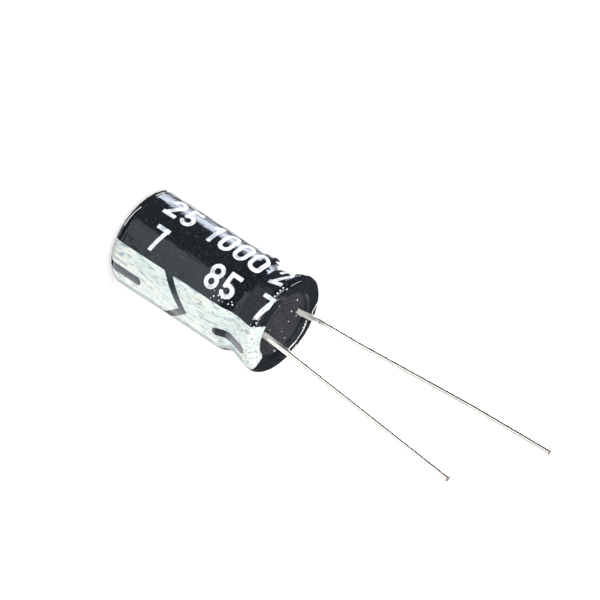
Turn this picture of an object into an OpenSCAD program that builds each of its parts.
// Radial electrolytic capacitor, standing on its closed end with both leads up.
// Z = 0 is the plane it stands on. The leads lie in the XZ plane, the negative one at +X.

/* [Can] */
// Outside diameter of the drawn aluminium can
can_d = 10; // [9:0.1:12]
// Height of the can, from its closed end to the top of the crimped lip
can_h = 17.7; // [16:0.1:24]
// Thickness of the can's wall
can_wall = 0.3; // [0.2:0.05:0.4]
// Outside radius of the rounded shoulder at the closed end
shoulder_r = 1.2; // [0.8:0.05:1.6]
// Outside radius of the rounded edge at the open end
lip_r = 0.5; // [0.45:0.05:0.6]
// Straight length of the lip that is crimped inward over the bung
lip_len = 0.95; // [0.5:0.05:1.1]
// Angle at which the lip dips towards the bung
lip_dip = 2; // [0:0.5:20]
// How much wider the rim stands than the body, on the radius
rim_swell = 0.15; // [0:0.01:0.2]

/* [Beaded groove] */
// Depth of the groove that grips the bung
groove_depth = 0.45; // [0.3:0.05:0.6]
// Distance from the top of the can to the middle of the groove
groove_drop = 2.87; // [2.7:0.01:3.3]
// Radius of the groove's floor
groove_floor_r = 1.9; // [1.2:0.1:2]
// Radius of the edge below the groove
groove_low_r = 1.9; // [1.2:0.1:2.4]

/* [Pressure vent] */
// Length of each scored line across the closed end
vent_len = 5.4; // [4:0.1:6]
// Width of the scored line
vent_w = 0.25; // [0.15:0.05:0.4]
// Depth of the scored line
vent_depth = 0.12; // [0.05:0.01:0.15]

/* [Sleeve and its print] */
// Thickness of the shrunk sleeve
sleeve_t = 0.12; // [0.08:0.01:0.2]
// Radius of the opening that the sleeve leaves at the closed end
sleeve_foot_r = 3.2; // [3:0.05:3.4]
// How far the sleeve reaches past the lip, down to the bung's face
sleeve_past_lip = 0.28; // [0.1:0.02:0.4]
// Thickness of the printed stripe
print_t = 0.04; // [0.02:0.01:0.08]
// Angle round the body that the pale stripe covers
stripe_span = 63; // [50:1:80]
// Angle of the stripe's middle, counted from the negative lead
stripe_turn = 6; // [-10:1:10]
// Length of each minus bar
bar_len = 4; // [2.5:0.1:4.2]
// Width of each minus bar, and of the arms of the arrow
bar_w = 1; // [0.5:0.05:1.4]
// Height of the middle of the first minus bar
bar_low_z = 2.45; // [2.2:0.05:3.4]
// Distance from the top of the can to the middle of the second minus bar
bar_drop = 2.52; // [2.2:0.02:3.6]
// Height of the arrow's tip
arrow_z = 10.2; // [9:0.1:11]
// How far the arrow's arms fall back from its tip at the stripe's edges
arrow_fall = 2.5; // [1.5:0.1:3.5]
// Height of the printed numerals
digit_h = 2.6; // [2:0.05:2.8]
// Width of each numeral
digit_w = 1.5; // [1.2:0.05:1.6]
// Spacing of the numerals
digit_pitch = 1.84; // [1.7:0.01:2]
// Width of their strokes
digit_pen = 0.42; // [0.3:0.01:0.5]
// Length after which the numbers are printed again
print_pitch = 13.1; // [12.5:0.1:14]
// Height at which the rating starts
rating_z = 7.5; // [6:0.1:8]
// Gap between the two numbers of the rating
rating_gap = 1.37; // [0.8:0.01:2]
// Height at which the temperature starts
temperature_z = 10.7; // [9:0.1:12]
// Height at which the single numeral after it starts
batch_z = 16.65; // [16:0.05:17]
// Angle of the rating's row, counted from the negative lead
rating_turn = -92.3; // [-100:0.1:-85]
// Angle of the temperature's row
temperature_turn = -49.3; // [-52:0.1:-48]

/* [Rubber bung] */
// How far the bung reaches below the groove's lower edge
bung_below = 0.5; // [0.3:0.05:1]
// How far the bung's face swells above the underside of the lip
bung_swell = 0.055; // [0:0.005:0.2]
// Bevel round the foot of the bung
bung_bevel = 0.25; // [0.1:0.05:0.4]
// Number of moulded rings on the bung's face
ring_count = 6; // [3:1:7]
// Spacing of the moulded rings
ring_pitch = 0.44; // [0.3:0.01:0.46]
// Height of each moulded ring
ring_h = 0.06; // [0.02:0.01:0.1]
// Width of each moulded ring at its foot
ring_w = 0.2; // [0.1:0.01:0.26]

/* [Terminals] */
// Distance between the two leads where they leave the bung
lead_pitch = 5; // [4.4:0.1:5.2]
// Diameter of each terminal's round stub
stub_d = 1.3; // [1:0.05:1.6]
// Length of the stub inside the bung
stub_in = 2.6; // [2:0.05:3]
// Length of the stub that stands below the bung
stub_out = 0.35; // [0.2:0.05:0.5]
// Length over which the stub is pressed flat
press_len = 0.7; // [0.4:0.05:0.9]
// Width of the pressed tab
tab_w = 1.6; // [1.2:0.05:1.8]
// Thickness of the pressed tab
tab_t = 0.2; // [0.15:0.01:0.3]
// Distance from the foil's lower edge to the end of the tab
tab_above = 1.5; // [1:0.1:4]

/* [Lead wires] */
// Diameter of the tinned wire
wire_d = 0.6; // [0.5:0.01:0.8]
// Clearance round the wire in the bung, on the radius
wire_gap = 0.04; // [0.02:0.01:0.1]
// Height of the weld between the stub and the wire
weld_h = 0.35; // [0.2:0.05:0.5]
// Radius of the mouth in the bung where each wire leaves
mouth_r = 0.62; // [0.5:0.01:0.7]
// Depth of that mouth
mouth_depth = 0.35; // [0.2:0.05:0.5]
// Radius of the positive wire's bend in its mouth
anode_mouth_bend = 1.5; // [1.2:0.1:3]
// Length of the positive wire from its mouth to its kink
anode_rise = 1.4; // [1:0.1:2]
// Radius of the kink
kink_r = 3; // [2:0.1:5]
// Length of the positive wire from the kink to its next bend
anode_low = 4.2; // [3:0.1:6]
// Length of the positive wire from there to its last bend
anode_mid = 12.3; // [8:0.1:14]
// Length of the last straight stretch of the positive wire
anode_tail = 8.9; // [4:0.1:15]
// Radius of the negative wire's bend in its mouth
cathode_mouth_bend = 3; // [2:0.1:6]
// Length of the negative wire from its mouth to its next bend
cathode_low = 3; // [2:0.1:5]
// Length of the last straight stretch of the negative wire
cathode_tail = 20.5; // [6:0.1:26]
// Radius of the slight bends higher up
slight_bend = 6; // [4:0.1:8]

/* [Winding] */
// Thickness of the etched anode foil
anode_foil_t = 0.16; // [0.1:0.01:0.2]
// Thickness of the cathode foil
cathode_foil_t = 0.1; // [0.05:0.01:0.16]
// Thickness of each paper separator
paper_t = 0.09; // [0.05:0.01:0.14]
// Clearance between neighbouring layers
layer_gap = 0.015; // [0.01:0.005:0.03]
// How far the paper stands past the foil at both ends
paper_past_foil = 0.5; // [0.3:0.05:0.8]
// Distance from the top of the paper to the bung
winding_below_bung = 1.2; // [1.1:0.05:2]
// Turns of the winding inside each tab
turns_inside_tab = 2.5; // [1.5:1:2.5]
// Thickness of the tape that holds the winding closed
tape_t = 0.06; // [0.03:0.01:0.1]
// Width of that tape
tape_w = 8; // [5:0.1:9]
// Clearance between the winding and the can, on the radius
winding_gap = 0.1; // [0.05:0.01:0.2]

/* [Hidden] */
$fn = 96;

can_r = can_d / 2;
rim_r = can_r + rim_swell;
base_z = sleeve_t;
can_top = base_z + can_h;
groove_z = can_top - groove_drop;

// Below its floor the groove's wall is an S of two arcs that touch: turn and rise follow from its depth
low_radii = groove_low_r + groove_floor_r;
low_turn = acos(1 - groove_depth / low_radii);
low_rise = low_radii * sin(low_turn);

// Above its floor the wall flares as a straight cone, which touches the rounded edge of the rim
rim_centre = [rim_r - lip_r, can_top - lip_r];
floor_centre = [can_r - groove_depth + groove_floor_r, groove_z];
flare_way = rim_centre - floor_centre;
flare = atan(flare_way[0] / flare_way[1]) + asin((groove_floor_r + lip_r) / norm(flare_way));

// Points of an arc about a centre, from one angle to another
function arc(centre, r, from, to, steps = 6) =
    [for (i = [0 : steps])
        let (t = from + (to - from) * i / steps)
        centre + r * [cos(t), sin(t)]];

// Radial section of a skin that lies a distance off outside the can, from the shoulder to the lip.
// Every shell is made from it, so the can, sleeve, print and bung always seat on each other.
function shoulder(off, from = -90) =
    arc([can_r - shoulder_r, base_z + shoulder_r], shoulder_r + off, from, 0);
function groove(off) = concat(
    arc([can_r - groove_low_r, groove_z - low_rise], groove_low_r + off, 0, low_turn),
    arc(floor_centre, groove_floor_r - off, 180 + low_turn, 180 - flare, 8));
function rim(off, to) = arc(rim_centre, lip_r + off, -flare, to, 8);
function lip_point(off, along) =
    rim_centre + (lip_r + off) * [-sin(lip_dip), cos(lip_dip)]
    - along * [cos(lip_dip), sin(lip_dip)];
function lip(off) = concat(rim(off, 90 + lip_dip), [lip_point(off, lip_len)]);
function reversed(points) = [for (i = [len(points) - 1 : -1 : 0]) points[i]];

lip_under = lip_point(-can_wall, lip_len);
sleeve_mouth_r = lip_point(0, lip_len)[0] - sleeve_past_lip;
face_z = lip_under[1] + bung_swell;
bung_z = groove_z - low_rise - bung_below;
bore_r = stub_d / 2;
stub_top = bung_z + stub_in;
wire_r = wire_d / 2;
lead_x = lead_pitch / 2;

// Drawn cup with a scored vent, beaded and crimped over the bung
module can() {
    color("silver")
    difference() {
        rotate_extrude()
            polygon(concat(
                [[0, base_z]], shoulder(0), groove(0), lip(0),
                reversed(concat(shoulder(-can_wall), groove(-can_wall), lip(-can_wall))),
                [[0, base_z + can_wall]]));
        for (turn = [0, 90])
            rotate(turn + 45)
                translate([-vent_len / 2, -vent_w / 2, base_z - 1])
                    cube([vent_len, vent_w, 1 + vent_depth]);
    }
}

// Heat-shrink sleeve, folded over the shoulder and over the crimped rim
module sleeve() {
    color("#17181b")
    rotate_extrude()
        polygon(concat(
            [[sleeve_foot_r, base_z - sleeve_t]],
            shoulder(sleeve_t), groove(sleeve_t), lip(sleeve_t),
            [[sleeve_mouth_r, face_z + sleeve_t], [sleeve_mouth_r, face_z]],
            reversed(concat(shoulder(0), groove(0), lip(0))),
            [[sleeve_foot_r, base_z]]));
}

// Outline of a minus bar, standing upright and round at both ends
module bar_shape(z) {
    reach = (bar_len - bar_w) / 2;
    translate([0, z]) {
        square([bar_w, 2 * reach], center = true);
        for (side = [-1, 1])
            translate([0, side * reach])
                circle(d = bar_w, $fn = 24);
    }
}

// Outline of the arrow that points to the leads, wider than the stripe
module arrow_shape() {
    half = can_r * sin(stripe_span / 2);
    past = 1.3;
    polygon([
        [0, arrow_z], [half * past, arrow_z - arrow_fall * past],
        [half * past, arrow_z - arrow_fall * past - bar_w], [0, arrow_z - bar_w],
        [-half * past, arrow_z - arrow_fall * past - bar_w], [-half * past, arrow_z - arrow_fall * past]]);
}

// Pale stripe printed on the sleeve beside the negative lead, with its marks left open
module polarity_stripe() {
    low = shoulder(sleeve_t, -50);
    low_out = shoulder(sleeve_t + print_t, -50);
    color("#dfe8e4")
    rotate(stripe_turn)
    difference() {
        rotate(-stripe_span / 2)
            rotate_extrude(angle = stripe_span)
                polygon(concat(
                    low_out, groove(sleeve_t + print_t), lip(sleeve_t + print_t),
                    [[sleeve_mouth_r, face_z + sleeve_t + print_t], [sleeve_mouth_r, face_z + sleeve_t]],
                    reversed(concat(low, groove(sleeve_t), lip(sleeve_t)))));
        translate([can_r / 2, 0, 0])
            rotate([90, 0, 90])
                linear_extrude(can_r) {
                    bar_shape(bar_low_z);
                    bar_shape(can_top - bar_drop);
                    arrow_shape();
                }
    }
}

// Printed numerals, each upright in a box digit_w wide and digit_h high
module bow(y, r, from, to) {
    polygon(concat(
        arc([digit_w / 2, y], r, from, to, 8),
        reversed(arc([digit_w / 2, y], r - digit_pen, from, to, 8))));
}
module digit(n) {
    r = digit_w / 2;
    top = digit_h - digit_pen;
    eight_r = (digit_h + digit_pen) / 4;
    if (n == 0) {
        difference() {
            polygon(concat(arc([r, digit_h - r], r, 0, 180, 8), arc([r, r], r, 180, 360, 8)));
            polygon(concat(
                arc([r, digit_h - r], r - digit_pen, 0, 180, 8), arc([r, r], r - digit_pen, 180, 360, 8)));
        }
    } else if (n == 1) {
        polygon([
            [r, 0], [r + digit_pen, 0], [r + digit_pen, digit_h], [r + digit_pen / 6, digit_h],
            [r - digit_pen, top], [r - digit_pen, top - digit_pen], [r, top - digit_pen / 3]]);
    } else if (n == 2) {
        bow(digit_h - r, r, -40, 180);
        polygon([
            [0, digit_pen / 2], [digit_pen * 1.5, digit_pen / 2],
            [r, digit_h - r] + r * [cos(-40), sin(-40)],
            [r, digit_h - r] + (r - digit_pen) * [cos(-40), sin(-40)]]);
        square([digit_w, digit_pen]);
    } else if (n == 5) {
        translate([digit_pen / 3, top])
            square([digit_w - digit_pen / 2, digit_pen]);
        translate([digit_pen / 3, digit_w * 0.8])
            square([digit_pen, digit_h - digit_w * 0.8]);
        bow(r, r, -145, 140);
    } else if (n == 7) {
        translate([0, top])
            square([digit_w, digit_pen]);
        polygon([
            [digit_w - digit_pen * 1.1, top + digit_pen / 2], [digit_w, top + digit_pen / 2],
            [digit_w - digit_pen * 1.5, 0], [digit_w - digit_pen * 2.6, 0]]);
    } else if (n == 8) {
        for (y = [eight_r, digit_h - eight_r])
            translate([r, y])
                difference() {
                    circle(eight_r, $fn = 24);
                    circle(eight_r - digit_pen, $fn = 24);
                }
    }
}

// A row of numbers along the sleeve, reading towards the leads, with the copy below it
module number(digits, z) {
    for (copy = [-1, 0], i = [0 : len(digits) - 1]) {
        start = z + copy * print_pitch + i * digit_pitch;
        if (start > shoulder_r)
            translate([start, -digit_h / 2])
                digit(digits[i]);
    }
}
module printed_row(turn) {
    rotate(turn)
        translate([can_r / 2, 0, 0])
            rotate([90, 0, 90])
                linear_extrude(can_r)
                    rotate(90)
                        children();
}

// Generic rating and temperature, printed in plain numbers
module rating_print() {
    edge = 3 + asin(digit_h / can_d);
    rating_len = 3 * digit_pitch + digit_w;
    function skin(off) = concat([[can_r + off, base_z + shoulder_r]], groove(off), rim(off, 70));
    color("white")
    intersection() {
        rotate(rating_turn - edge)
            rotate_extrude(angle = temperature_turn - rating_turn + 2 * edge)
                polygon(concat(skin(sleeve_t + print_t), reversed(skin(sleeve_t))));
        union() {
            printed_row(rating_turn) {
                number([1, 0, 0, 0], rating_z);
                number([2, 5], rating_z + rating_len + rating_gap);
            }
            printed_row(temperature_turn) {
                number([8, 5], temperature_z);
                number([7], batch_z);
            }
        }
    }
}

// Bore for one terminal: stub, weld, wire, and the mouth that the bent wire needs
module terminal_bore() {
    translate([0, 0, bung_z - 1])
        cylinder(h = stub_in + weld_h + 1, r = bore_r);
    translate([0, 0, stub_top])
        cylinder(h = face_z - stub_top + 1, r = wire_r + wire_gap);
    translate([0, 0, face_z - mouth_depth])
        cylinder(h = mouth_depth + ring_h, r1 = wire_r + wire_gap, r2 = mouth_r);
}

// One moulded ring of the bung's face, as points from its outer foot to its inner foot
function ring(i) =
    let (r = ring_pitch * (ring_count - i))
    [[r + ring_w / 2, face_z], [r + ring_w / 4, face_z + ring_h],
     [r - ring_w / 4, face_z + ring_h], [r - ring_w / 2, face_z]];

// Rubber bung, squeezed to a waist by the groove and held down by the lip
module bung() {
    inside_r = can_r - can_wall;
    color("#2b2b2e")
    difference() {
        rotate_extrude()
            polygon(concat(
                [[0, bung_z], [inside_r - bung_bevel, bung_z], [inside_r, bung_z + bung_bevel]],
                groove(-can_wall), lip(-can_wall),
                [[lip_under[0] - bung_swell, face_z]],
                [for (i = [0 : ring_count - 1]) each ring(i)],
                [[0, face_z]]));
        for (side = [-1, 1])
            translate([side * lead_x, 0, 0])
                terminal_bore();
    }
}

winding_top = bung_z - winding_below_bung;
winding_r = can_r - can_wall - winding_gap;
paper_z = base_z + shoulder_r
    - sqrt(pow(shoulder_r - can_wall, 2) - pow(max(0, winding_r - can_r + shoulder_r), 2));
foil_z = paper_z + paper_past_foil;
foil_h = winding_top - paper_past_foil - foil_z;
tab_x = lead_x - tab_t / 2;

// Aluminium terminal at +X: a round stub, pressed to a flat tab that lies on the foil.
// Its outline from the front is cut from its outline from the side, where the press has made it thin.
module terminal() {
    stub_foot = bung_z - stub_out;
    press_z = stub_foot - press_len;
    tab_z = foil_z + tab_above;
    press_slope = press_len / (bore_r - tab_t / 2);
    past = 2 * bore_r;
    past_z = press_z + press_slope * (past - tab_t / 2);
    translate([lead_x, 0, 0])
        intersection() {
            rotate_extrude()
                polygon([
                    [0, tab_z], [tab_w / 2, tab_z], [tab_w / 2, press_z],
                    [bore_r, stub_foot], [bore_r, stub_top], [0, stub_top]]);
            rotate([90, 0, 0])
                linear_extrude(2 * tab_w, center = true)
                    polygon([
                        [-tab_t / 2, tab_z - 1], [tab_t / 2, tab_z - 1], [tab_t / 2, press_z],
                        [past, past_z], [past, stub_top + 1],
                        [-past, stub_top + 1], [-past, past_z], [-tab_t / 2, press_z]]);
        }
}
module cathode_terminal() { color("gainsboro") terminal(); }
module anode_terminal() { color("gainsboro") mirror([1, 0, 0]) terminal(); }

// A round wire in the XZ plane: each run is [straight length, bend towards +X, bend radius].
// A bend is necked by a hair, and the straights lap into it.
lap = 0.02;
neck = 0.99;
module wire_run(runs, i = 0) {
    length = runs[i][0];
    turn = runs[i][1];
    r = runs[i][2];
    side = turn < 0 ? -1 : 1;
    first = i == 0;
    last = i == len(runs) - 1;
    translate([0, 0, first ? 0 : -lap])
        cylinder(h = length + (first ? 0 : lap) + (last ? 0 : lap), r = wire_r, $fn = 32);
    if (!last)
        translate([0, 0, length]) {
            translate([side * r, 0, 0])
                rotate([90, 0, 0])
                    rotate(turn < 0 ? 0 : 180 - turn)
                        rotate_extrude(angle = abs(turn))
                            translate([r, 0])
                                circle(r = wire_r * neck, $fn = 32);
            translate([side * r * (1 - cos(turn)), 0, r * sin(abs(turn))])
                rotate([0, turn, 0])
                    wire_run(runs, i + 1);
        }
}

// Tinned wire with the bead of its weld, starting on top of the stub at +X.
// It stands straight in the bung, and its first bend is in the bung's mouth.
module lead(first_bend, runs) {
    translate([lead_x, 0, stub_top]) {
        cylinder(h = weld_h, r1 = (bore_r + wire_r) / 2, r2 = wire_r + wire_gap / 2);
        wire_run(concat([concat(face_z - stub_top, first_bend)], runs));
    }
}
module cathode_wire() {
    color("#c9c6c0")
        lead([4, cathode_mouth_bend], [[cathode_low, 2.2, slight_bend], [cathode_tail, 0, 0]]);
}
module anode_wire() {
    color("#c9c6c0")
        mirror([1, 0, 0])
            lead([14, anode_mouth_bend], [
                [anode_rise, -11, kink_r], [anode_low, 2.4, slight_bend],
                [anode_mid, -2.2, slight_bend], [anode_tail, 0, 0]]);
}

// The winding has two starts half a turn apart: each foil has a separator on its outer side.
// Both tabs lie at the same radius, and the layers outside them rise over them.
steps_per_turn = 24;
turn_pitch = 2 * (anode_foil_t + paper_t + 2 * layer_gap);
tab_fit = turn_pitch * asin(tab_w / 2 / tab_x) / 360 + layer_gap;
start_r = tab_x - tab_fit - anode_foil_t - turn_pitch * turns_inside_tab;
tab_corner_r = norm([tab_x + tab_t, tab_w / 2]);
tab_rise = tab_corner_r - tab_x + 2 * tab_fit + 0.06;
outside_r = winding_r - tape_t - 2 * layer_gap;
paper_overlap = 0.25;
foil_turns = floor(steps_per_turn * ((outside_r - tab_rise - start_r) / turn_pitch - 0.5 - paper_overlap))
    / steps_per_turn;

// How far a layer stands off where it passes over the tabs: full near a tab, nothing away from it
function over_tab(angle, r) =
    let (away = abs(angle - 180 * round(angle / 180)))
    r < tab_x + layer_gap / 2 ? 0
    : away < 24 ? tab_rise
    : away > 66 ? 0
    : tab_rise * (1 + cos(180 * (away - 24) / 42)) / 2;
// Radius of a layer at an angle from the start of its foil; off is its place in the stack
function layer_r(angle, off) =
    let (at_tab = start_r + turn_pitch * round(angle / 180) / 2 + off)
    start_r + turn_pitch * angle / 360 + off + over_tab(angle, at_tab + tab_fit);

// A strip wound from one angle to another, as one band of even thickness
module strip(from, to, off, thick, z, height) {
    steps = round((to - from) / 360 * steps_per_turn);
    angles = [for (i = [0 : steps]) from + 360 * i / steps_per_turn];
    translate([0, 0, z])
        linear_extrude(height)
            polygon(concat(
                [for (a = angles) layer_r(a, off) * [cos(a), sin(a)]],
                reversed([for (a = angles) (layer_r(a, off) + thick) * [cos(a), sin(a)]])));
}
module separator() {
    strip(-360 * paper_overlap, 360 * (foil_turns + paper_overlap),
        anode_foil_t + layer_gap, paper_t, paper_z, winding_top - paper_z);
}
module anode_foil() {
    color("#8d8f92")
        strip(0, 360 * foil_turns, 0, anode_foil_t, foil_z, foil_h);
}
module cathode_foil() {
    color("#c7c9cc")
    rotate(180)
        strip(0, 360 * foil_turns, anode_foil_t - cathode_foil_t, cathode_foil_t, foil_z, foil_h);
}
module inner_separator() { color("#d8c9a4") separator(); }
module outer_separator() { color("#e2d6b6") rotate(180) separator(); }

// Tape round the finished winding
module winding_tape() {
    last = 360 * (foil_turns + paper_overlap);
    inside = [for (i = [0 : steps_per_turn - 1])
        let (a = 360 * i / steps_per_turn)
        start_r + turn_pitch * last / 360 + anode_foil_t + paper_t + 2 * layer_gap + over_tab(a, outside_r)];
    function band(extra) = [for (i = [0 : steps_per_turn - 1])
        (inside[i] + extra) * [cos(360 * i / steps_per_turn), sin(360 * i / steps_per_turn)]];
    color("#d9b45a")
    translate([0, 0, (paper_z + winding_top - tape_w) / 2])
        linear_extrude(tape_w)
            difference() {
                polygon(band(tape_t));
                polygon(band(0));
            }
}

can();
sleeve();
polarity_stripe();
rating_print();
bung();
anode_terminal();
cathode_terminal();
anode_wire();
cathode_wire();
anode_foil();
cathode_foil();
inner_separator();
outer_separator();
winding_tape();
